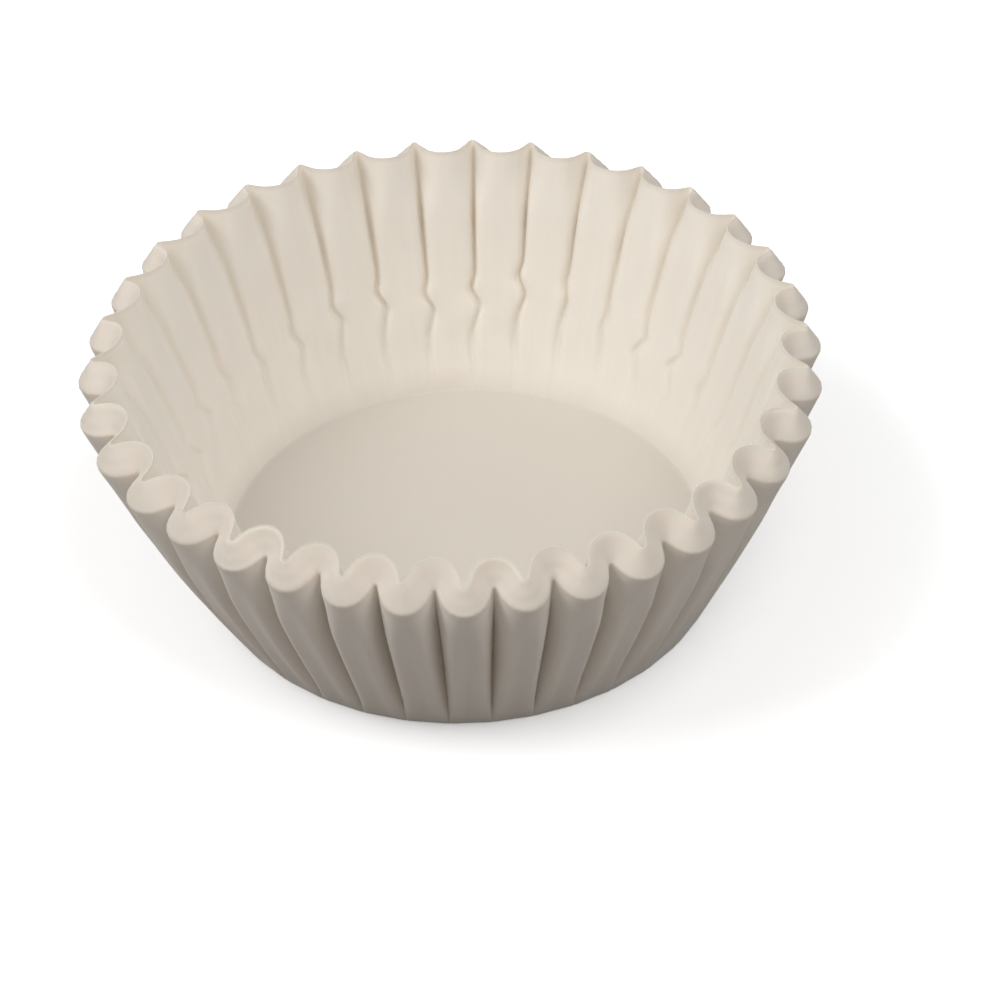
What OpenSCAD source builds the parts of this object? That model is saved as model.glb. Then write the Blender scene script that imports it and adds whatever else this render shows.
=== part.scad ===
// Cupcake liner: round paper sheets, pressed together into a fluted cup and still lying tightly
// in each other. Millimetres, +Z up, the origin at the middle of the base's underside.

/* [Cup] */
// Diameter of the flat base, measured on the outermost sheet
base_d = 50.8; // [35:0.2:80]
// Length of the wall up its slope, from the base's edge to the rim of the outermost sheet
wall_len = 25.65; // [18:0.05:40]
// Lean of the wall's outer folds from upright, in degrees
flare = 24.65; // [12:0.05:35]
// How far the wall swells outward halfway up
belly = 0.45; // [0:0.05:1.5]
// Radius of the pressed edge between the base and the wall
edge_r = 0.4; // [0.2:0.1:2]

/* [Paper] */
// Number of sheets that lie in each other
sheets = 40; // [1:1:50]
// Thickness of one sheet, with the air beside it
sheet_t = 0.06; // [0.04:0.005:0.08]
// How much further up the slope the innermost sheet's rim stands, from sitting less deep
inner_rise = 0.4; // [0:0.1:2]

/* [Flutes] */
// Number of flutes round the wall
flutes = 35; // [24:1:44]
// Depth of a flute at the rim, from its outer fold to its inner fold
flute_d = 2.7; // [1:0.1:3.4]
// Depth of a flute at the base's edge, where the pleats begin
base_flute_d = 0.15; // [0.05:0.05:0.5]
// Radius of the sharpest fold that the paper takes
fold_r = 0.28; // [0.1:0.02:0.6]
// How much higher the rim stands at the inner folds than at the outer folds
rim_dip = 0.7; // [0:0.1:1.5]

/* [Pressed faces] */
// How flat the die has ironed the inside's faces: 2 leaves a round, more is flatter
inner_bend = 4.5; // [2:0.1:6]
// How flat it has ironed the outside's faces
outer_bend = 5; // [2:0.1:6]
// Share of the wall below the rim over which the inside's faces become flat
inner_blend = 0.28; // [0.1:0.01:1]
// Share of the wall below the rim over which the outside's faces become flat
outer_blend = 0.3; // [0.1:0.01:1]
// How far the middle of each outside face is pressed in between its edges
outer_hollow = 0.3; // [0:0.05:0.6]
// How much shallower the inside's creases are at the sides than at the back, as a share
side_ease = 0.5; // [0:0.05:1]

/* [Crumpled ring inside] */
// Height of the ring where the innermost sheet's creases jump aside, as a share of the wall
kink_at = 0.38; // [0.3:0.01:0.5]
// How far a crease jumps aside there
kink_jump = 0.8; // [0:0.1:1.2]

/* [Handling] */
// How far the mouth bulges and dips out of round, from being held and stacked
mouth_bulge = 0.75; // [0:0.05:1.5]
// How far the rim rises and falls round the mouth
rim_sway = 0.75; // [0:0.05:1.5]
// How far the outer sheets stand up at the back of the rim
back_rise = 0.55; // [0:0.05:1.5]
// How far a hand has bent the left side of the mouth, in behind and out in front
grip_bend = 0.45; // [0:0.05:1]
// How far the flutes stray from an even spacing, in degrees
spacing_stray = 1.7; // [0:0.1:2.5]

/* [Hidden] */

PAPER = "#e9e1d5";

// The nest's thickness, which also parts the outermost sheet from the innermost
wall_t = sheets * sheet_t;
base_r = base_d / 2;
// The fold from the base up into the wall, as the tangent of half its angle: it makes the inner
// base smaller by the nest's thickness, and sets where the pressed edge begins and ends
half_fold = tan((90 - flare) / 2);
floor_r = base_r - wall_t * half_fold;
edge_len = edge_r * half_fold;

// One surface of the nest: radius and height of its base's edge, and the length of its wall
OUTSIDE = [base_r, 0, wall_len];
INSIDE = [floor_r, wall_t, wall_len + inner_rise];

// The first outer fold lies this far round from the back, in degrees
first_fold_a = 4.2;
half_pitch_a = 180 / flutes;
// Steps across half a flute, from its outer fold to its inner fold
half_steps = 4;
flute_cols = 2 * half_steps;
cols = flutes * flute_cols;

// Ring heights as shares of the wall, inside gathered round the kink by these distances from it
outside_rings = [0.06, 0.2, 0.5, 0.75, 0.88, 1];
kink_rings = [0.13, 0.07, 0.012, -0.04, -0.1];
inside_rings = concat([1, 0.94, 0.86, 0.7], [for (k = kink_rings) kink_at + k], [0.18, 0.08, 0]);

// Places round the cup, in degrees from the back: the mouth's widest, the rim's highest, the
// wall's roundest, and where the hand held it, with how far that reaches
widest_a = 37;
highest_a = -40;
roundest_a = -125;
grip_a = -88;
grip_spread = 45;
// Flutes are never filled by their rounds alone: this share leaves a straight flank
most_round = 0.95;
// Share of the wall up to which the base's straight sides reach
straight_top = 0.35;
// Share of the wall at which an outside face is hollow in full, and how much of its width that takes
hollow_from = 0.15;
hollow_reach = 0.65;
// Share of the wall below the rim over which the side creases grow shallow
ease_top = 0.25;

// Depths of the pressed grooves, as shares of a flute's depth, at shares of the wall
INNER_GROOVE = [[0, 0.01], [0.1, 0.05], [0.2, 0.13], [0.33, 0.18], [0.42, 0.24], [0.6, 0.4],
    [0.8, 0.62], [1, 0.92]];
OUTER_GROOVE = [[0, 0.02], [0.05, 0.12], [0.1, 0.28], [0.2, 0.5], [0.35, 0.74], [0.5, 0.88],
    [0.8, 0.97], [1, 1]];
// Share of a face that slopes into the open groove beside it, at shares of the wall
INNER_OPEN = [[0, 0.4], [0.3, 0.28], [0.45, 0.15], [0.7, 0.15], [1, 0.22]];
OUTER_OPEN = [[0, 0.1], [0.1, 0.16], [0.3, 0.25], [0.6, 0.3], [1, 0.36]];
// How far aside a crease lies, as a share of its jump, at distances from the kink
JUMP_SHAPE = [[-0.35, 0], [-0.22, -0.4], [-0.15, -0.3], [-0.04, 0.42], [0.012, -0.22], [0.035, -0.28],
    [0.07, 0], [0.1, 0.08], [0.3, 0]];
// How much of the kink's own rise and fall a ring follows, at shares of the wall
KINK_FOLLOW = [[0, 0], [0.25, 1], [0.5, 1], [0.8, 0], [1, 0]];

// Rises from 0 to 1 as x does, without a corner at either end
function smooth(x) = let (t = min(1, max(0, x))) t * t * (3 - 2 * t);

// Slow waves of the angle, radius and height round the cup
function stray(a) = spacing_stray * (1.1 * sin(a - 47) + sin(2 * a + 176) + 0.5 * sin(3 * a + 69));
function bulge(a) = mouth_bulge * cos(3 * (a - widest_a));
function sway(a) = rim_sway * cos(2 * (a - highest_a));
function swell(a) = belly * (1 + 0.6 * cos(a - roundest_a));
function dip(a) = rim_dip * (1 - 0.45 * cos(a));
function rise(a) = back_rise * pow(0.5 + 0.5 * cos(a), 2);
function grip(a) =
    let (from_grip = (a - grip_a + 540) % 360 - 180)
    -grip_bend * sin(4 * from_grip) * exp(-pow(from_grip / grip_spread, 2));

// The kink's height wanders round the cup, and so does the size of the jump
function kink_wave(a) = 0.027 * sin(3 * a + 79) + 0.022 * sin(5 * a - 29) + 0.034 * sin(9 * a - 92);
function jump(from_kink, a) =
    kink_jump * (1.67 * sin(a + 145) + 0.79 * sin(4 * a + 74) + 0.27 * sin(7 * a - 58))
        * lookup(from_kink, JUMP_SHAPE);

// Depth of the flutes at a share f of the wall's length
function depth(f) = base_flute_d + (flute_d - base_flute_d) * f;

// Half of a flute's pitch at that share, in millimetres
function half_pitch(surface, f) =
    PI * (surface[0] + f * surface[2] * sin(flare) - depth(f) / 2) / flutes;

// At the rim a flute turns through a round fold, a straight flank and a second fold. The radii of
// the two folds add up to this: the sheets bent round the sharpest fold on both sides, or less
// where the pitch leaves no room for that
function fold_sum(hw, d) = min(wall_t + 2 * fold_r, most_round * (hw * hw + d * d) / (2 * d));

// Angle of the flank from the radial direction
function flank_a(hw, d, m) = atan2(m - d, hw) + acos(m / norm([hw, m - d]));

// Points of half a flute at the rim, from the outer fold at 0 to the inner fold at half the pitch,
// as [across, outward]. Outside the outer fold is the round one, inside the inner fold is
function round_half(hw, d, outside) =
    let (m = fold_sum(hw, d), turn = 90 - flank_a(hw, d, m), r = m - fold_r, last = half_steps - 1)
    outside
        ? concat(
            [for (i = [0 : last]) let (t = turn * i / last) [r * sin(t), r * (cos(t) - 1)]],
            [[hw, -d]])
        : concat(
            [[0, 0]],
            [for (i = [last : -1 : 0])
                let (t = turn * i / last) [hw - r * sin(t), r * (1 - cos(t)) - d]]);

// A pressed face and the open groove beside it: shares across and of the groove's depth, for a
// turn of 0 in the groove to 90 in the middle of the face. The higher the bend, the flatter
function pressed(turn, bend, open) =
    let (out = pow(sin(turn), 2 / bend))
    [open * out + (1 - open) * (1 - pow(cos(turn), 2 / bend)), out];

// The base's outline has a straight side under each flute: how far it lies inside the circle
function chord(across) = base_r * (cos(half_pitch_a) / cos(half_pitch_a * across) - 1);

// How far an outside face is pressed in, at a share across from its middle
function hollow(f, across) =
    outer_hollow * smooth(f / hollow_from) * (0.5 + 0.5 * cos(180 * min(1, across / hollow_reach)));

// Depth of the grooves. One of the outermost sheet can't be deeper than the sheets behind it leave
// room for, and one of the innermost is shallower at the sides, where a hand has opened the mouth
function outer_groove(f, d) = min(flute_d * lookup(f, OUTER_GROOVE), d + wall_t / 2);
function inner_groove(f, d, fold_a) =
    min(flute_d * lookup(f, INNER_GROOVE), d)
        * (1 - side_ease * smooth((1 - f) / ease_top) * pow(sin(fold_a), 2));

// The same points below the rim, where the faces are pressed flat
function pressed_half(hw, d, f, fold_a, outside) =
    outside
        ? let (groove = outer_groove(f, d), straight = smooth(1 - f / straight_top))
        [for (i = [half_steps : -1 : 0])
            let (p = pressed(90 * i / half_steps, outer_bend, lookup(f, OUTER_OPEN)), across = 1 - p[0])
            [hw * across, groove * (p[1] - 1) + straight * chord(across) - hollow(f, across)]]
        : let (groove = inner_groove(f, d, fold_a))
        [for (i = [0 : half_steps])
            let (p = pressed(90 * i / half_steps, inner_bend, lookup(f, INNER_OPEN)))
            [hw * p[0], groove * (1 - p[1]) - d]];

// The whole flute whose outer fold is at an angle, at a share f, without the point that it shares
// with the flute before it
function whole_flute(hw, d, f, fold_a, outside) =
    let (flat = smooth((1 - f) / (outside ? outer_blend : inner_blend)),
        half = round_half(hw, d, outside) * (1 - flat) + pressed_half(hw, d, f, fold_a, outside) * flat)
    concat([for (i = [half_steps - 1 : -1 : 0]) [-half[i][0], half[i][1]]],
        [for (i = [1 : half_steps]) half[i]]);

// One ring of a surface, a point for each column. Inside, it rises and falls with the kink
function ring(surface, f, outside) =
    let (hw = half_pitch(surface, f))
    [for (k = [0 : flutes - 1])
        let (fold_a = first_fold_a + 2 * half_pitch_a * k)
        for (p = whole_flute(hw, depth(f), f, fold_a, outside))
        let (even_a = fold_a + half_pitch_a * p[0] / hw,
            wave = outside ? 0 : kink_wave(even_a) * lookup(f, KINK_FOLLOW),
            aside = outside ? 0 : jump(f - kink_at, even_a) / hw * half_pitch_a,
            a = even_a + stray(even_a) + aside,
            g = f + wave,
            slope = g * surface[2] + (outside ? f * rise(a) : 0),
            r = surface[0] + slope * sin(flare) + 4 * swell(a) * g * (1 - g) + p[1]
                - wave * (flute_d - base_flute_d) + g * (bulge(a) + grip(a)),
            z = surface[1] + slope * cos(flare) - dip(a) * p[1] / flute_d
                + g * (sway(a) + rim_dip - dip(a)))
        [r * sin(a), r * cos(a), z]
    ];

// The base's underside: its rim is drawn in by the radius of the pressed edge
function underside() =
    [for (p = ring(OUTSIDE, 0, true)) let (s = 1 - edge_len / base_r) [p[0] * s, p[1] * s, 0]];

// The ring where the pressed edge meets the wall
function edge_ring() = ring(OUTSIDE, edge_len / wall_len, true);

module liner() {
    rings = concat(
        [underside(), edge_ring()],
        [for (f = outside_rings) ring(OUTSIDE, f, true)],
        [for (f = inside_rings) ring(INSIDE, f, false)]
    );
    last = (len(rings) - 1) * cols;
    skin = [for (i = [0 : len(rings) - 2], j = [0 : cols - 1])
        let (a = i * cols + j, b = i * cols + (j + 1) % cols)
        each [[a, b, a + cols], [b, b + cols, a + cols]]];
    base_face = [for (j = [cols - 1 : -1 : 0]) j];
    floor_face = [for (j = [0 : cols - 1]) last + j];
    color(PAPER)
        polyhedron([for (r = rings) each r], concat([base_face, floor_face], skin));
}

liner();
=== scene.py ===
# %% [markdown]
# # A fluted paper baking case
#
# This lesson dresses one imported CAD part, a cupcake liner, for a picture. The real thing starts
# as a stack of round sheets of greaseproof paper. A die presses the whole stack at once into a
# cup: the middle stays flat, and the paper that is left over round the edge folds into flutes.
# The stack keeps its cup shape and lies so tightly that it reads as one thick wall.
#
# The CAD part holds the true size and the folds. Here the same folds are drawn again with many
# more points, so that their rounds are smooth, and get what a solid can't hold: the dents and the
# ridge of the crumpled paper inside, the loose edge of the innermost sheet, the fibres of the
# paper and the light.

# %% Load the frame
import math

import bpy
import numpy as np
from mathutils import Matrix, Vector, noise


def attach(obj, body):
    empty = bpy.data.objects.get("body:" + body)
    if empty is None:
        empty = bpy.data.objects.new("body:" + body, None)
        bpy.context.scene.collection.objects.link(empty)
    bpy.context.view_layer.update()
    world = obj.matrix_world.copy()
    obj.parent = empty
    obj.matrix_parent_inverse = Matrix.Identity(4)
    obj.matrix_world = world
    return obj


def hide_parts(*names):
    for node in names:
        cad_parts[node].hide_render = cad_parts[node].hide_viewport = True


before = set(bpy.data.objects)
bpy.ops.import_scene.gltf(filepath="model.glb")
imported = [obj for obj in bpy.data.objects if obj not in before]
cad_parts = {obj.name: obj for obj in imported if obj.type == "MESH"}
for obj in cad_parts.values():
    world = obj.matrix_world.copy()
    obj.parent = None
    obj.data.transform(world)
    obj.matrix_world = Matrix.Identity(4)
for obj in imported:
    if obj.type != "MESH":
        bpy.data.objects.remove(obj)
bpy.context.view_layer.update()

# %% [markdown]
# ## The sizes of the case
#
# These are the driving sizes of the CAD part, in millimetres and degrees. The script can't read
# the CAD source, so it repeats them.

# %% Driving sizes, in millimetres and degrees
MM = 0.001

# the cup
BASE_D = 50.8
WALL_LEN = 25.65
FLARE = math.radians(24.65)
BELLY = 0.45
BACK_RISE = 0.55
EDGE_R = 0.4

# the stack of sheets that makes its wall
SHEETS = 40
SHEET_T = 0.06
WALL_T = SHEETS * SHEET_T
INNER_RISE = 0.4

# the flutes
FLUTES = 35
FLUTE_D = 2.7
BASE_FLUTE_D = 0.15
FOLD_R = 0.28
MOST_ROUND = 0.95
RIM_DIP = 0.7
FIRST_FOLD = 4.2

# the crumpled ring, as a share of the wall's length, and its jump
KINK_AT = 0.38
KINK_JUMP = 0.8
SIDE_EASE = 0.5

# wear from handling
MOUTH_BULGE = 0.75
WIDEST = 37.0
RIM_SWAY = 0.75
HIGHEST = -40.0
SPACING_STRAY = 1.7
GRIP = 0.45
GRIP_A = -88.0
GRIP_SPREAD = 45.0

BASE_R = BASE_D / 2
HALF_FOLD = math.tan((math.pi / 2 - FLARE) / 2)
FLOOR_R = BASE_R - WALL_T * HALF_FOLD
MOUTH_R = BASE_R + WALL_LEN * math.sin(FLARE)
print("mouth radius", round(MOUTH_R, 2), "mm, wall", WALL_T, "mm thick")

# %% [markdown]
# ## The section of a flute
#
# Paper can't stretch, so where the wall has more paper than it needs, it makes flutes. In section
# a flute is a round outer fold, a straight flank and a round inner fold. When sheets are bent
# round each other, each one inside a fold has a smaller radius than the one outside it. So the
# outermost sheet has broad outer folds and sharp inner ones, and the innermost sheet has sharp
# outer folds and broad inner ones. One number, `tau`, says which sheet is drawn: 0 is the
# outermost, 1 the innermost. The two radii always add up to the same sum, and that is what keeps
# the sheets parallel.
#
# The section could be drawn as a curve object and bevelled, but a formula gives every sheet, at
# every height, from the same few sizes, and it puts a column of points exactly on each crease.

# %% The points of one flute
ROUND_STEPS = 4
FLANK_STEPS = 2
HALF_COLS = 2 * ROUND_STEPS + FLANK_STEPS
COLS_PER_FLUTE = 2 * HALF_COLS
COLS = FLUTES * COLS_PER_FLUTE


def flute_depth(f):
    """Depth of the flutes at a share f of the wall's length."""
    return BASE_FLUTE_D + (FLUTE_D - BASE_FLUTE_D) * f


def half_flute(half_pitch, depth, tau):
    """Points [across, outward] from the outer fold to the inner fold of one sheet."""
    room = MOST_ROUND * (half_pitch ** 2 + depth ** 2) / (2 * depth)
    both = min(WALL_T + 2 * FOLD_R, room)
    outer_r = FOLD_R + (both - 2 * FOLD_R) * (1 - tau)
    inner_r = both - outer_r
    reach = math.hypot(half_pitch, both - depth)
    flank = math.atan2(both - depth, half_pitch) + math.acos(both / reach)
    t = np.linspace(0, math.pi / 2 - flank, ROUND_STEPS + 1)
    crest = np.stack([outer_r * np.sin(t), outer_r * (np.cos(t) - 1)], -1)
    valley = np.stack([half_pitch - inner_r * np.sin(t), inner_r * (1 - np.cos(t)) - depth], -1)
    valley = valley[::-1]
    step = np.linspace(0, 1, FLANK_STEPS + 1)[1:-1, None]
    return np.concatenate([crest, crest[-1] * (1 - step) + valley[0] * step, valley])


def whole(half, odd):
    """A whole flute's values from half of them, without the inner fold of the flute before it."""
    return np.concatenate([half[:-1][::-1] * (-1 if odd else 1), half[1:]])


def all_round(half):
    """The values of half a flute, mirrored and repeated for all the flutes of a ring."""
    return np.tile(whole(half, False), FLUTES)


test = half_flute(math.pi * MOUTH_R / FLUTES, FLUTE_D, 0.0)
print("columns in a flute:", len(whole(test[:, 0], True)), "of", COLS_PER_FLUTE)

# %% [markdown]
# ## Pressed faces
#
# Below the rim the die has ironed the flutes. The broad fold of the sheet that shows is a nearly
# flat face there, and all of its bend sits at the edges, where two faces turn into a narrow
# groove. A superellipse has that form: with a bend of 2 it is a plain arc, and the higher the
# number, the flatter the face and the tighter its edges. Paper can't make a perfectly sharp
# crease, so the bottom of a groove is rounded a little.

# %% The points of a pressed flute
ROUND_BOTTOM = 0.25
SOFT_BOTTOM = 0.6


def pressed_half(bend, open_share, tau, bottom=ROUND_BOTTOM):
    """Shares [across, towards the face] from the outer fold to the inner fold of one sheet."""
    t = np.linspace(0, math.pi / 2, HALF_COLS + 1)
    to_face = np.sin(t) ** (2 / bend)
    from_groove = open_share * to_face + (1 - open_share) * (1 - np.cos(t) ** (2 / bend))
    if tau > 0.5:
        return from_groove, to_face * (1 - np.exp(-(t / bottom) ** 2))
    return 1 - from_groove[::-1], to_face[::-1]


for bottom in (ROUND_BOTTOM, SOFT_BOTTOM):
    print("depth left beside a groove's bottom:",
          round(1 - float(pressed_half(4.5, 0.15, 1.0, bottom)[1][1]), 2))

# %% [markdown]
# ## Handling
#
# No real case is perfect. The mouth of this one is a little out of round, its rim rises and
# falls, its flutes are not quite evenly spaced, and a hand has bent it at the left. All of
# that is slow waves round the cup, so it is written as sums of sines. Random noise would do it
# too, but a few sines with whole turns close up where they meet, and give the same result each
# time.

# %% Waves, steps and tables
def sine(a, turns, phase):
    """A wave that goes round the cup a whole number of times; a and phase in degrees."""
    return np.sin(np.radians(turns * a + phase))


def waves(a, table):
    """A sum of waves, each given as its strength, its turns round the cup and its phase."""
    return sum(strength * sine(a, turns, phase) for strength, turns, phase in table)


def smooth(x):
    """Rises from 0 to 1 as x does, without a corner at either end."""
    x = min(1.0, max(0.0, x))
    return x * x * (3 - 2 * x)


def profile(x, table):
    """The value at x in a table of pairs, with straight lines between them."""
    return np.interp(x, *zip(*table))


def at_sides(a):
    """1 at the left and right of the cup, 0 at its front and back."""
    return sine(a, 1, 0) ** 2


print("halfway up a smooth step:", smooth(0.5))

# %% The shape of the mouth and the rim
STRAY_WAVES = ((1.1, 1, -47), (1.0, 2, 176), (0.5, 3, 69))
BELLY_SWING = 0.6
DIP_SWING = 0.45


def stray(a):
    """How far a flute strays from its even place, in degrees."""
    return SPACING_STRAY * waves(a, STRAY_WAVES)


def bulge(a):
    """How far the mouth bulges, in mm."""
    return MOUTH_BULGE * np.cos(np.radians(3 * (a - WIDEST)))


def sway(a):
    """How far the rim rises, in mm."""
    return RIM_SWAY * np.cos(np.radians(2 * (a - HIGHEST)))


def grip(a):
    """How far a hand has bent the left side of the mouth: in behind, out in front, in mm."""
    from_grip = (a - GRIP_A + 180) % 360 - 180
    return GRIP * np.sin(np.radians(-4 * from_grip)) * np.exp(-(from_grip / GRIP_SPREAD) ** 2)


def belly(a):
    """How far the wall swells outward halfway up, in mm."""
    return BELLY * (1 + BELLY_SWING * sine(a, 1, 215))


def dip(a):
    """How much lower the rim lies at an outer fold than at an inner one, in mm."""
    return RIM_DIP * (1 - DIP_SWING * sine(a, 1, 90))


degrees = np.arange(360.0)
uneven = np.ptp(bulge(degrees) + grip(degrees))
print("the mouth's radius varies by", round(float(uneven), 2), "mm")

# %% [markdown]
# ## The creases inside, and the crumpled ring
#
# The innermost sheet was pushed down into the others and has crumpled in a ring about two fifths
# of the way up. There each crease jumps aside and comes back, and that broken line is what the
# eye reads as crumpled paper. A cloth simulation could crumple it, but would blur the creases, so
# the path of a crease is a short table instead. Its corners are rounded by averaging it over a
# few nearby heights. How far it jumps changes slowly round the cup.

# %% How deep the creases are, and where they jump
JUMP_AT_WAVES = ((0.027, 3, 79), (0.022, 5, -29), (0.034, 9, -92))
JUMP_WAVES = ((1.67, 1, 145), (0.79, 4, 74), (0.27, 7, -58))
JUMP_PATH = ((-0.35, 0.0), (-0.22, -0.3), (-0.15, -0.25), (-0.09, 0.08), (-0.05, 0.42),
             (-0.025, 0.4), (0.02, -0.22), (0.045, -0.3), (0.08, -0.04), (0.12, 0.05),
             (0.3, 0.0))
JUMP_ROUNDING = (-0.014, -0.007, 0.0, 0.007, 0.014)
INNER_GROOVE = ((0.0, 0.01), (0.1, 0.08), (0.2, 0.18), (0.33, 0.25), (0.42, 0.28), (0.6, 0.4),
                (0.8, 0.62), (1.0, 0.92))
EASE_ZONE = 0.25
JUMP_FILL = 0.1
JUMP_FILL_SPREAD = 0.03


def kink_height(a):
    """Share of the wall's length at which the crease has jumped aside."""
    return KINK_AT + waves(a, JUMP_AT_WAVES)


def crease_jump(f, a):
    """How far a crease of the innermost sheet has moved aside, in mm."""
    from_kink = f - kink_height(a)
    path = sum(profile(from_kink + step, JUMP_PATH) for step in JUMP_ROUNDING)
    return KINK_JUMP * waves(a, JUMP_WAVES) * path / len(JUMP_ROUNDING)


def inner_groove(f, a):
    """Depth of the groove at a crease of the innermost sheet, in mm."""
    eased = SIDE_EASE * smooth((1 - f) / EASE_ZONE) * at_sides(a)
    filled = JUMP_FILL * np.exp(-((f - kink_height(a)) / JUMP_FILL_SPREAD) ** 2)
    return FLUTE_D * profile(f, INNER_GROOVE) * (1 - eased) * (1 - filled)


print("a crease jumps", round(float(crease_jump(0.35, np.array([4.2]))[0]), 2), "mm at the back")

# %% [markdown]
# ## The faces outside
#
# The outermost sheet shows the backs of the flutes: broad faces with an open V groove between
# them, which the die has pressed in a little along their middle. Towards the base the grooves
# close, and the faces become the flat sides of a many-sided base.

# %% How deep the outer grooves are, and how hollow the faces
OUTER_GROOVE = ((0.0, 0.02), (0.05, 0.12), (0.1, 0.28), (0.2, 0.5), (0.35, 0.74), (0.5, 0.88),
                (0.8, 0.97), (1.0, 1.0))
HOLLOW = 0.3
HOLLOW_WIDTH = 0.65
HOLLOW_FROM = 0.15


def outer_groove(f):
    """Depth of the groove between two flutes of the outermost sheet, in mm."""
    return min(FLUTE_D * profile(f, OUTER_GROOVE), flute_depth(f) + WALL_T / 2)


def hollow(f, across):
    """How far the face of an outer fold is pressed in, in mm, most in its middle."""
    from_middle = np.clip(across / HOLLOW_WIDTH, -1, 1)
    return HOLLOW * smooth(f / HOLLOW_FROM) * (0.5 + 0.5 * np.cos(np.pi * from_middle))


def chord(across):
    """How far a flat side of the base lies inside its circle, in mm, across a flute."""
    return BASE_R * (math.cos(math.pi / FLUTES) / np.cos(math.pi / FLUTES * across) - 1)


print("outer grooves halfway up:", round(float(outer_groove(0.5)), 2), "mm deep")

# %% [markdown]
# ## From a sheet to points in space
#
# A ring is all the points of one sheet at one share `f` of the wall's length. Just below the rim
# its round section gives way to the pressed one. The wall leans out by the flare, the inner folds
# stand higher at the rim than the outer ones, and the slow waves are added in proportion to the
# height, so that the base stays flat and round.

# %% A ring of one sheet
INNER_BEND = 4.5
INNER_OPEN = ((0.0, 0.3), (0.3, 0.2), (0.45, 0.15), (0.7, 0.15), (1.0, 0.22))
INNER_BLEND = 0.28
OUTER_BEND = 5.0
OUTER_OPEN = ((0.0, 0.1), (0.1, 0.16), (0.3, 0.25), (0.6, 0.3), (1.0, 0.36))
OUTER_BLEND = 0.3
FLAT_SIDES = 0.35
JUMP_FADE = 8

FOLDS = FIRST_FOLD + 360.0 / FLUTES * np.arange(FLUTES)
FOLD_OF_COLUMN = np.repeat(FOLDS, COLS_PER_FLUTE)


def press_inside(f, across, out, ironed):
    """Presses a ring of the innermost sheet; its creases are softer at the sides."""
    share, firm = pressed_half(INNER_BEND, profile(f, INNER_OPEN), 1.0)
    soft = pressed_half(INNER_BEND, profile(f, INNER_OPEN), 1.0, SOFT_BOTTOM)[1]
    to_face = all_round(firm) + all_round(soft - firm) * at_sides(FOLD_OF_COLUMN)
    flat = inner_groove(f, FOLD_OF_COLUMN) * (1 - to_face) - flute_depth(f)
    across = across * (1 - ironed) + whole(share, True) * ironed
    return across, out * (1 - ironed) + flat * ironed


def press_outside(f, across, out, ironed):
    """Presses a ring of the outermost sheet; its faces are flat sides at the base."""
    share, to_face = pressed_half(OUTER_BEND, profile(f, OUTER_OPEN), 0.0)
    across = across * (1 - ironed) + whole(share, True) * ironed
    pressed_in = smooth(1 - f / FLAT_SIDES) * chord(across) - hollow(f, across)
    flat = outer_groove(f) * (all_round(to_face) - 1) + np.tile(pressed_in, FLUTES)
    return across, out * (1 - ironed) + flat * ironed


def ring(f, tau, lift=0.0):
    """Points of the sheet tau at the share f of its wall, lifted up its slope by some mm."""
    base_r = BASE_R + (FLOOR_R - BASE_R) * tau
    slope = f * (WALL_LEN + INNER_RISE * tau)
    cone_r = base_r + slope * math.sin(FLARE)
    half_pitch = math.pi * (cone_r - flute_depth(f) / 2) / FLUTES
    half = half_flute(half_pitch, flute_depth(f), tau)
    across, out = whole(half[:, 0] / half_pitch, True), all_round(half[:, 1])
    if tau > 0.5:
        across, out = press_inside(f, across, out, smooth((1 - f) / INNER_BLEND))
    else:
        across, out = press_outside(f, across, out, smooth((1 - f) / OUTER_BLEND))
    even = (FOLDS[:, None] + 180.0 / FLUTES * across[None, :]).ravel()
    a = even + stray(even) + tau ** JUMP_FADE * np.degrees(crease_jump(f, even) / cone_r)
    up = slope + lift + f * (1 - tau) * BACK_RISE * (0.5 + 0.5 * sine(a, 1, 90)) ** 2
    r = base_r + up * math.sin(FLARE) + 4 * belly(a) * f * (1 - f) + out + f * (bulge(a) + grip(a))
    z = WALL_T * tau + up * math.cos(FLARE) - dip(a) * out / FLUTE_D
    z = z + f * (sway(a) + RIM_DIP - dip(a))
    rad = np.radians(a)
    return np.stack([r * np.sin(rad), r * np.cos(rad), z], -1)


print("rim of the outermost sheet: z from", np.round(ring(1.0, 0.0)[:, 2].min(), 2),
      "to", np.round(ring(1.0, 0.0)[:, 2].max(), 2), "mm")

# %% [markdown]
# ## The cut edge of the stack
#
# At the rim the edges of all the sheets lie side by side in a sloping band. They aren't cut quite
# level, and the innermost sheet stands a little apart from the others. The band is drawn as a row
# of rings from the outermost sheet to the innermost, each lifted or sunk a little. Drawing all the
# sheets would take many times the points, and at this size they can't be told apart.

# %% The band of edges
BAND = np.array([0.0, 0.03, 0.1, 0.2, 0.32, 0.44, 0.56, 0.68, 0.78, 0.86,
                 0.905, 0.935, 0.955, 0.985, 1.0])
OUTER_ROUNDING = 0.12
INNER_ROUNDING = 0.04
GAP = 0.06
GAP_AT = 0.935
GAP_SPREAD = 0.025
GAP_WAVES = ((0.3, 3, 200), (0.2, 7, 30))
RAGGED_SLOW, RAGGED_FINE = 0.025, 0.02


def band_lift(tau, a):
    """How far the edge of sheet tau stands out of the band, in mm."""
    rounding = OUTER_ROUNDING * (tau == BAND[0]) + INNER_ROUNDING * (tau == BAND[-1])
    ragged = RAGGED_SLOW * sine(a, 9, 400 * tau) * math.sin(9 * tau)
    ragged = ragged + RAGGED_FINE * sine(a, 17, 900 * tau)
    gap = GAP * math.exp(-((tau - GAP_AT) / GAP_SPREAD) ** 2) * (0.5 + waves(a, GAP_WAVES))
    return ragged - rounding - gap


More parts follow.
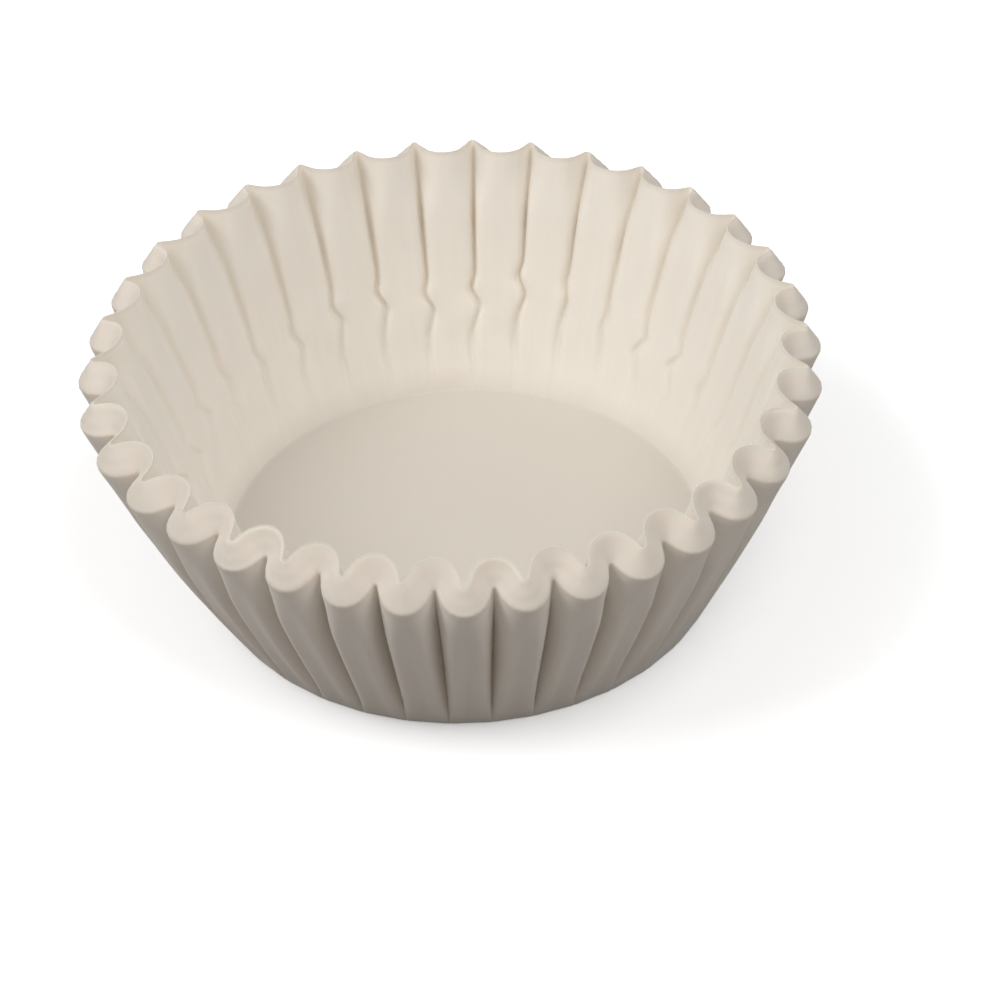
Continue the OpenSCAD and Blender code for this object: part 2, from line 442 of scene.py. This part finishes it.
def band_ring(tau):
    """A ring of the band."""
    a = FOLD_OF_COLUMN + np.tile(np.linspace(-180.0, 180.0, COLS_PER_FLUTE) / FLUTES, FLUTES)
    return ring(1.0, tau, band_lift(tau, a))


print("the gap is up to", round(-float(band_lift(GAP_AT, degrees).min()), 3), "mm deep")

# %% [markdown]
# ## Waviness
#
# Between the creases paper is never quite flat. Points of the wall move in and out along the
# wall's normal by a few hundredths of a millimetre. Below the crumpled ring, where the paper has
# been pushed together, they move more and in upright dents. A ridge runs round at the ring itself,
# broken where the faces hold it flat. A displacement modifier could do it, but here the sizes are
# given in real millimetres and can fade out towards the rim and the floor.

# %% Waves in the paper
FINE_WAVE, FINE_WAVE_MM = 0.02, 3.2
CRUMPLED_WAVE = 0.04
BROAD_WAVE, BROAD_WAVE_MM = 0.04, 9.0
DENT, DENT_MM, DENT_SWING = 0.14, 1.9, 0.35
DENT_SQUEEZE = np.array([1.0, 1.0, 0.3])
CRUMPLED_BELOW, CRUMPLED_BLEND = 0.42, 0.03
RIDGE, RIDGE_MM, RIDGE_UNBROKEN = 0.06, 2.4, 0.25
RIDGE_ABOVE, RIDGE_SWAY, RIDGE_SPREAD = 0.05, 0.012, 0.012
FADE_AT_FLOOR, FADE_AT_RIM = 0.08, 0.02


def paper_wave(points, size_mm, seed):
    """A smooth value from -1 to 1 at each point, with waves of about size_mm."""
    shift = Vector((seed * 7.3, seed * 3.1, seed * 5.7))
    return np.array([noise.noise(Vector(p) / size_mm + shift) for p in points])


def push(points, amount):
    """Moves points of the wall outward along its mean normal, by an amount in mm for each."""
    rad = np.arctan2(points[:, 0], points[:, 1])
    normal = np.stack([np.sin(rad) * math.cos(FLARE), np.cos(rad) * math.cos(FLARE),
                       np.full(len(points), -math.sin(FLARE))], -1)
    return points + normal * np.asarray(amount)[:, None]


def inner_waves(points, f):
    """The innermost sheet at the share f, with its waves, its dents and the broken ridge."""
    a = np.degrees(np.arctan2(points[:, 0], points[:, 1]))
    crumpled = 1.0 / (1.0 + math.exp((f - CRUMPLED_BELOW) / CRUMPLED_BLEND))
    fine = (FINE_WAVE + CRUMPLED_WAVE * crumpled) * paper_wave(points, FINE_WAVE_MM, 1)
    broad = BROAD_WAVE * paper_wave(points, BROAD_WAVE_MM, 2)
    dents = DENT * crumpled * paper_wave(points * DENT_SQUEEZE, DENT_MM, 6)
    dents = dents * (1 - DENT_SWING + DENT_SWING * sine(a, 1, 20))
    from_ridge = f - (KINK_AT + RIDGE_ABOVE + RIDGE_SWAY * sine(a, 13, 20))
    ridge = RIDGE * np.exp(-(from_ridge / RIDGE_SPREAD) ** 2)
    ridge = ridge * np.clip(paper_wave(points, RIDGE_MM, 3) + RIDGE_UNBROKEN, 0, 1)
    fade = min(1.0, f / FADE_AT_FLOOR) * min(1.0, (1 - f) / FADE_AT_RIM)
    return push(points, fade * (fine + broad + dents - ridge))


moved = np.linalg.norm(inner_waves(ring(0.2, 1.0), 0.2) - ring(0.2, 1.0), axis=1)
print("low on the wall the paper moves by up to", round(float(moved.max()), 3), "mm")

# %% [markdown]
# ## The mesh
#
# The case is one closed skin: up the outside from the base, over the band of edges, down the
# inside and across the floor. Rings of equal columns are joined by quads. On the flat floor and
# base so many columns would crowd together, so there each ring has only a quarter, and then a
# fifth, of the columns of the one before it.

# %% Rings from the base up the outside, over the rim and down the inside
BEND_STEPS = 4
OUTSIDE_STEPS = 18
OUTSIDE_WAVE, OUTSIDE_WAVE_MM, OUTSIDE_FADE = 0.05, 8.0, 0.2


def steps(start, end, count):
    """Evenly spaced shares after start, up to end."""
    return [start + (end - start) * (i + 1) / count for i in range(count)]


def round_off(start, corner, end, t):
    """A ring of a round bend: t is 0 at its start and 1 at its end, and it rounds the corner."""
    return start * (1 - t) ** 2 + corner * 2 * t * (1 - t) + end * t ** 2


def level(points, height, scale=1.0):
    """A ring scaled about the middle and laid flat at a height."""
    return np.column_stack([points[:, :2] * scale, np.full(len(points), height)])


edge_len = EDGE_R * HALF_FOLD
base_edge = (level(ring(0.0, 0.0), 0.0, 1 - edge_len / BASE_R), level(ring(0.0, 0.0), 0.0),
             ring(edge_len / WALL_LEN, 0.0))
rings = [round_off(*base_edge, i / BEND_STEPS) for i in range(BEND_STEPS + 1)]
for f in steps(edge_len / WALL_LEN, 1.0, OUTSIDE_STEPS)[:-1]:
    wall = ring(f, 0.0)
    fade = min(1.0, f / OUTSIDE_FADE)
    rings.append(push(wall, OUTSIDE_WAVE * fade * paper_wave(wall, OUTSIDE_WAVE_MM, 4)))
band_start = len(rings)
rings += [band_ring(tau) for tau in BAND]
inside_start = len(rings)
INSIDE_SHARES = steps(1.0, 0.58, 16) + steps(0.58, 0.22, 30) + steps(0.22, 0.02, 10)
rings += [inner_waves(ring(f, 1.0), f) for f in INSIDE_SHARES]
print("rings:", len(rings), "columns:", COLS, "quads:", (len(rings) - 1) * COLS)

# %% Floor and base: fewer columns towards the middle
FLOOR_FOLD_R = 0.15
FLOOR_WAVE, FLOOR_WAVE_MM = 0.05, 7.0
FLOOR_SHARES = (0.985, 0.93, 0.85, 0.75, 0.64, 0.52, 0.4, 0.28, 0.16, 0.07)
FLOOR_EVERY = (4, 4, 4, 4, 4, 4, 4, 20, 20, 20)
BASE_SHARES = (0.9, 0.4)
BASE_EVERY = (20, 20)

fold_len = FLOOR_FOLD_R * HALF_FOLD
floor_edge = (ring(fold_len / WALL_LEN, 1.0), level(ring(0.0, 1.0), WALL_T),
              level(ring(0.0, 1.0), WALL_T, 1 - fold_len / FLOOR_R))
rings += [round_off(*floor_edge, i / BEND_STEPS) for i in range(1, BEND_STEPS + 1)]


def disc_rings(edge, height, shares, every, wave):
    """Rings inside an edge ring, each a share of its radius, with every so many of its columns."""
    found = []
    for share, step in zip(shares, every):
        disc = level(edge[::step], height, share)
        disc[:, 2] += wave * paper_wave(disc, FLOOR_WAVE_MM, 5)
        found.append(disc)
    return found


floor_rings = disc_rings(rings[-1], WALL_T, FLOOR_SHARES, FLOOR_EVERY, FLOOR_WAVE)
base_rings = disc_rings(rings[0], 0.0, BASE_SHARES, BASE_EVERY, 0.0)
print("floor rings:", len(floor_rings), "base rings:", len(base_rings))

# %% Join the rings
def join(outer, inner, outer_first, inner_first, flip):
    """Faces between two rings, where the inner one has the same columns or fewer."""
    found = []
    many, few = len(outer), len(inner)
    per = many // few
    for i in range(few):
        along = [outer_first + (i * per + j) % many for j in range(per + 1)]
        back = [inner_first + (i + 1) % few, inner_first + i]
        found.append((along + back)[::-1] if flip else along + back)
    return found


stack = base_rings[::-1] + rings + floor_rings
starts = np.cumsum([0] + [len(points) for points in stack])
faces = [list(range(starts[0], starts[1]))]
for i in range(len(stack) - 1):
    if len(stack[i + 1]) > len(stack[i]):
        faces += join(stack[i + 1], stack[i], starts[i + 1], starts[i], False)
    else:
        faces += join(stack[i], stack[i + 1], starts[i], starts[i + 1], True)
faces.append(list(range(starts[-2], starts[-1]))[::-1])
print("faces:", len(faces))

# %% Make the case's object
SHARP_ANGLE = math.radians(60)

mesh = bpy.data.meshes.new("paper_case")
mesh.from_pydata((np.concatenate(stack) * MM).tolist(), [], faces)
mesh.validate()
case = bpy.data.objects.new("paper_case", mesh)
bpy.context.collection.objects.link(case)
mesh.polygons.foreach_set("use_smooth", [True] * len(mesh.polygons))
mesh.set_sharp_from_angle(angle=SHARP_ANGLE)
print("case:", len(mesh.vertices), "points,", len(mesh.polygons), "faces,",
      sum(len(p.vertices) - 2 for p in mesh.polygons), "triangles")

# %% [markdown]
# ## Marks for the paint
#
# The cut edges of the paper are a little darker. The other marks are painted shade: the floor is
# painted greyer, for the shade that the wall casts on it, and the grey runs a little way up the
# fold, so that the fold shows no highlight; the creases get a warm painted shade, for their shade
# and for the warm light that the paper lets through. The material has to know where those are.
# Vertex colours or an image would do, but the rings are known by their numbers, so a plain
# attribute, a number from 0 to 1 on each point, says it exactly.

# %% Mark the band of edges, and the painted shade in the creases and on the floor
# painted shade: how strongly the floor's grey is laid on the rings up its fold, and how strongly
# the creases' warm shade is laid on by height and round the cup
FLOOR_SHADE_RAMP = (0.05, 0.12, 0.2, 0.28, 0.4, 0.5, 0.65, 0.8)
CREASE_LOW, CREASE_HIGH = 0.15, 0.85
CREASE_LOW_END, CREASE_HIGH_FROM, CREASE_BLEND = 0.12, 0.32, 0.12
BEHIND_POWER, NOT_BEHIND = 6, 0.7


def mark(name, first, values):
    """Marks the points of some rings in a row, with a value or an array of values for each ring."""
    marks = np.zeros(len(mesh.vertices), dtype=np.float32)
    for at, value in enumerate(values, start=first):
        marks[starts[at]:starts[at + 1]] = value
    mesh.attributes.new(name, "FLOAT", "POINT").data.foreach_set("value", marks)
    print(name, "marks", int((marks > 0).sum()), "points")


def painted_crease_shade(f, behind):
    """Painted warm shade for one ring inside: strong in the creases of the upper wall, most at the
    back.
    """
    to_face = pressed_half(INNER_BEND, profile(f, INNER_OPEN), 1.0)[1]
    share = (CREASE_LOW * smooth(f / CREASE_LOW_END)
             + CREASE_HIGH * smooth((f - CREASE_HIGH_FROM) / CREASE_BLEND))
    return share * (NOT_BEHIND + (1 - NOT_BEHIND) * behind) * all_round(1 - to_face)


first_ring = len(base_rings)
first_floor = first_ring + len(rings)
# the painted crease shade is fullest at the back and weaker at the left and right
behind = np.clip(sine(np.arange(COLS) * 360.0 / COLS, 1, 90), 0, 1) ** BEHIND_POWER
mark("cut_edge", first_ring + band_start, [1.0] * len(BAND))
# painted shade: the floor is greyer for the shade of the wall, and the grey runs up the fold so
# that the fold shows no highlight
mark("floor", first_floor - len(FLOOR_SHADE_RAMP), [*FLOOR_SHADE_RAMP, *[1.0] * len(floor_rings)])
# painted shade: the creases get a warm shade, for their shade and the light the paper lets through
mark("crease", first_ring + inside_start, [painted_crease_shade(f, behind) for f in INSIDE_SHARES])

# %% [markdown]
# ## Greaseproof paper
#
# Baking cases are made of greaseproof paper: wood fibres beaten so finely that the sheet is
# dense, smooth and off-white, with a dull surface that has only a trace of sheen. Close up it is
# faintly mottled, because the fibres gather in clouds, and the die has drawn it into faint
# upright streaks. Light passes a little way into it, which softens the shade in the creases. A
# shader needs four things for that: a warm off-white with slow mottling and streaks, a high
# roughness, a very fine bump, and some light under the surface. A photograph of paper would
# repeat and fix the light, so the pattern comes from noise whose scale is given in millimetres.

# %% Colour and node helpers
def linear(hex_colour):
    """An sRGB hex colour as linear RGBA."""
    parts = [int(hex_colour[i:i + 2], 16) / 255 for i in (1, 3, 5)]
    return (*[c / 12.92 if c <= 0.04045 else ((c + 0.055) / 1.055) ** 2.4 for c in parts], 1.0)


def add(tree, kind, settings=None, links=None):
    """Adds a node with its settings and links; an input goes by its name or its number."""
    made = tree.nodes.new(kind)
    for name, value in (settings or {}).items():
        if isinstance(name, int) or name in made.inputs:
            made.inputs[name].default_value = value
        else:
            setattr(made, name, value)
    for name, socket in (links or {}).items():
        tree.links.new(socket, made.inputs[name])
    return made


WHITE = linear("#FFFFFF")
print("middle grey in linear light:", round(linear("#808080")[0], 3))

# %% The mottling of the paper
# real clouds of fibres are 3 to 8 mm across; real fibres are 0.02 to 0.03 mm wide, too fine to
# show, so the fibres here are drawn more than ten times as coarse
CLOUD_MM = 5.0
STREAK_MM = 0.7
STREAK_STRETCH = 0.06
STREAK_SHARE = 0.6
FIBRE_MM = 0.35


def mottling(tree, place):
    """From 0 to 1: clouds of fibres, and streaks that the die has drawn up the wall."""
    cloud = add(tree, "ShaderNodeTexNoise", {"Scale": 1 / (CLOUD_MM * MM), "Detail": 3.0},
                {"Vector": place})
    part = add(tree, "ShaderNodeSeparateXYZ", links={"Vector": place}).outputs
    around = add(tree, "ShaderNodeMath", {"operation": "ARCTAN2"}, {0: part["X"], 1: part["Y"]})
    along = add(tree, "ShaderNodeMath", {"operation": "MULTIPLY", 1: BASE_R * MM},
                {0: around.outputs[0]})
    upward = add(tree, "ShaderNodeMath", {"operation": "MULTIPLY", 1: STREAK_STRETCH},
                 {0: part["Z"]})
    unrolled = add(tree, "ShaderNodeCombineXYZ",
                   links={"X": along.outputs[0], "Z": upward.outputs[0]})
    streak = add(tree, "ShaderNodeTexNoise", {"Scale": 1 / (STREAK_MM * MM), "Detail": 2.0},
                 {"Vector": unrolled.outputs["Vector"]})
    return add(tree, "ShaderNodeMix", {"data_type": "FLOAT", "Factor": STREAK_SHARE},
               {"A": cloud.outputs["Fac"], "B": streak.outputs["Fac"]}).outputs["Result"]


print("streaks are", round(STREAK_MM / STREAK_STRETCH, 1), "mm long and", STREAK_MM, "mm wide")

# %% The paper material
PAPER_LIGHT = "#EDE8DF"
PAPER_DARK = "#E6DFD5"
TOOTH_MM, TOOTH_STRENGTH = 0.05, 0.15
LIGHT_DEPTH_MM = 1.0
# the cut edge colour is the paper's own; the floor and crease colours are painted shade
MARKED_COLOURS = (("cut_edge", "#DED5C9"), ("floor", "#CAC3B9"), ("crease", "#E9E0D2"))


def greaseproof_paper():
    """Beaten wood fibre, pressed between smooth rolls: dull, off-white, faintly cloudy."""
    material = bpy.data.materials.new("greaseproof_paper")
    material.use_nodes = True
    tree = material.node_tree
    place = add(tree, "ShaderNodeTexCoord").outputs["Object"]
    colour = add(tree, "ShaderNodeMix",
                 {"data_type": "RGBA", "A": linear(PAPER_DARK), "B": linear(PAPER_LIGHT)},
                 {"Factor": mottling(tree, place)})
    # mixes in the darker cut edges, and the painted shade on the floor and in the creases
    for name, marked in MARKED_COLOURS:
        share = add(tree, "ShaderNodeAttribute", {"attribute_name": name})
        colour = add(tree, "ShaderNodeMix", {"data_type": "RGBA", "B": linear(marked)},
                     {"Factor": share.outputs["Fac"], "A": colour.outputs["Result"]})
    fibre = add(tree, "ShaderNodeTexNoise", {"Scale": 1 / (FIBRE_MM * MM), "Detail": 2.0},
                {"Vector": place})
    tooth = add(tree, "ShaderNodeBump", {"Strength": TOOTH_STRENGTH, "Distance": TOOTH_MM * MM},
                {"Height": fibre.outputs["Fac"]})
    shader = tree.nodes["Principled BSDF"]
    tree.links.new(colour.outputs["Result"], shader.inputs["Base Color"])
    tree.links.new(tooth.outputs["Normal"], shader.inputs["Normal"])
    shader.inputs["Roughness"].default_value = 0.75
    shader.inputs["IOR"].default_value = 1.45
    shader.inputs["Subsurface Weight"].default_value = 0.5
    shader.inputs["Subsurface Radius"].default_value = (1.0, 0.85, 0.7)
    shader.inputs["Subsurface Scale"].default_value = LIGHT_DEPTH_MM * MM
    return material


case.data.materials.append(greaseproof_paper())
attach(case, "root")
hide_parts("liner")
print("materials:", [m.name for m in case.data.materials])

# %% [markdown]
# ## The table
#
# The table is a plain pale floor. To the camera it is white and still takes the soft shadow of the
# case. To the light that bounces it is a darker grey, so that it doesn't wash out the shade under
# the flaring wall. A little glow lifts it to white, weak near the case, where the lamps are bright
# and the shadow has to stay, and stronger far away, where they no longer reach.

# %% The table
TABLE_SIZE = 6.0
TABLE_DROP = 0.02 * MM
BOUNCE_GREY = "#7F7873"
GLOW_FROM, GLOW_TO = 0.15, 0.7
GLOW_NEAR, GLOW_FAR = 0.25, 0.8


def table_paint():
    """White to the eye and to reflections, grey to bounced light."""
    material = bpy.data.materials.new("table_paint")
    material.use_nodes = True
    tree = material.node_tree
    tree.nodes.clear()
    path = add(tree, "ShaderNodeLightPath").outputs
    seen = add(tree, "ShaderNodeMath", {"operation": "MAXIMUM"},
               {0: path["Is Camera Ray"], 1: path["Is Glossy Ray"]})
    through = add(tree, "ShaderNodeMath", {"operation": "MAXIMUM"},
                  {0: seen.outputs[0], 1: path["Is Transmission Ray"]})
    place = add(tree, "ShaderNodeTexCoord").outputs["Object"]
    away = add(tree, "ShaderNodeVectorMath", {"operation": "LENGTH"}, {0: place})
    brighter = add(tree, "ShaderNodeMapRange",
                   {"From Min": GLOW_FROM, "From Max": GLOW_TO,
                    "To Min": GLOW_NEAR, "To Max": GLOW_FAR},
                   {"Value": away.outputs["Value"]})
    glow = add(tree, "ShaderNodeEmission", {"Color": WHITE},
               {"Strength": brighter.outputs["Result"]})
    white = add(tree, "ShaderNodeBsdfDiffuse", {"Color": WHITE})
    lit = add(tree, "ShaderNodeAddShader", links={0: white.outputs[0], 1: glow.outputs[0]})
    bounce = add(tree, "ShaderNodeBsdfDiffuse", {"Color": linear(BOUNCE_GREY)})
    mix = add(tree, "ShaderNodeMixShader",
              links={0: through.outputs[0], 1: bounce.outputs[0], 2: lit.outputs[0]})
    add(tree, "ShaderNodeOutputMaterial", links={"Surface": mix.outputs[0]})
    return material


half_size = TABLE_SIZE / 2
corners = [(x * half_size, y * half_size, 0) for x, y in ((-1, -1), (1, -1), (1, 1), (-1, 1))]
table_mesh = bpy.data.meshes.new("table")
table_mesh.from_pydata(corners, [], [(0, 1, 2, 3)])
table_mesh.materials.append(table_paint())
table = bpy.data.objects.new("table", table_mesh)
table.location = (0, 0, -TABLE_DROP)
bpy.context.collection.objects.link(table)
print("table:", TABLE_SIZE, "m wide")

# %% [markdown]
# ## The camera
#
# The camera stands where the photographer's stood. Its height, roll, distance and focal length
# come from a fit of the folds to the photograph. All lengths are in mouth radii, so they follow
# the size of the case.

# %% The camera, from the angle of the photograph
ELEVATION = math.radians(39.54)
ROLL = math.radians(-2.10)
MOUTH_RADII_AWAY = 12.0
TARGET = Vector((0.101, 0.0, 0.188)) * MOUTH_R * MM
FRAME_PX = 1000
MOUTH_R_PX = 362.8
SENSOR_MM = 36.0

camera_data = bpy.data.cameras.new("camera")
camera_data.sensor_width = SENSOR_MM
camera_data.lens = MOUTH_R_PX * MOUTH_RADII_AWAY / FRAME_PX * SENSOR_MM
camera = bpy.data.objects.new("camera", camera_data)
back = Vector((0.0, -math.cos(ELEVATION), math.sin(ELEVATION)))
up = Vector((0.0, math.sin(ELEVATION), math.cos(ELEVATION)))
right = Vector((1.0, 0.0, 0.0))
turned = Matrix((right, up, back)).transposed().to_4x4() @ Matrix.Rotation(ROLL, 4, "Z")
stand = TARGET + back * MOUTH_RADII_AWAY * MOUTH_R * MM
camera.matrix_world = Matrix.Translation(stand) @ turned
bpy.context.collection.objects.link(camera)
bpy.context.scene.camera = camera
print("lens", round(camera_data.lens, 1), "mm")

# %% [markdown]
# ## The light
#
# Paper shows its folds best in soft light, as a product photographer would set it: light from all
# sides, more of it from above the left, and a weaker lamp opposite. The world gives the light from
# all sides, and two square softboxes give the rest, so the shade in the flutes stays soft.

# %% Lamps and world
LAMP_AWAY = 0.6
LAMP_SIZE = 0.3
WORLD_LIGHT = 0.41


def softbox(name, towards, watts):
    """A square white area lamp that shines on the case from a direction."""
    data = bpy.data.lights.new(name, "AREA")
    data.shape = "SQUARE"
    data.size = LAMP_SIZE
    data.energy = watts
    lamp = bpy.data.objects.new(name, data)
    direction = Vector(towards).normalized()
    lamp.location = direction * LAMP_AWAY
    lamp.rotation_euler = direction.to_track_quat("Z", "Y").to_euler()
    bpy.context.collection.objects.link(lamp)
    print(name, "lamp:", watts, "W")


softbox("key", (-0.592, -0.158, 0.79), 1.62)
softbox("fill", (0.354, -0.354, 0.866), 1.36)

world = bpy.data.worlds.new("world")
bpy.context.scene.world = world
world.use_nodes = True
world.node_tree.nodes["Background"].inputs["Color"].default_value = WHITE
world.node_tree.nodes["Background"].inputs["Strength"].default_value = WORLD_LIGHT
bpy.context.scene.view_settings.view_transform = "Standard"
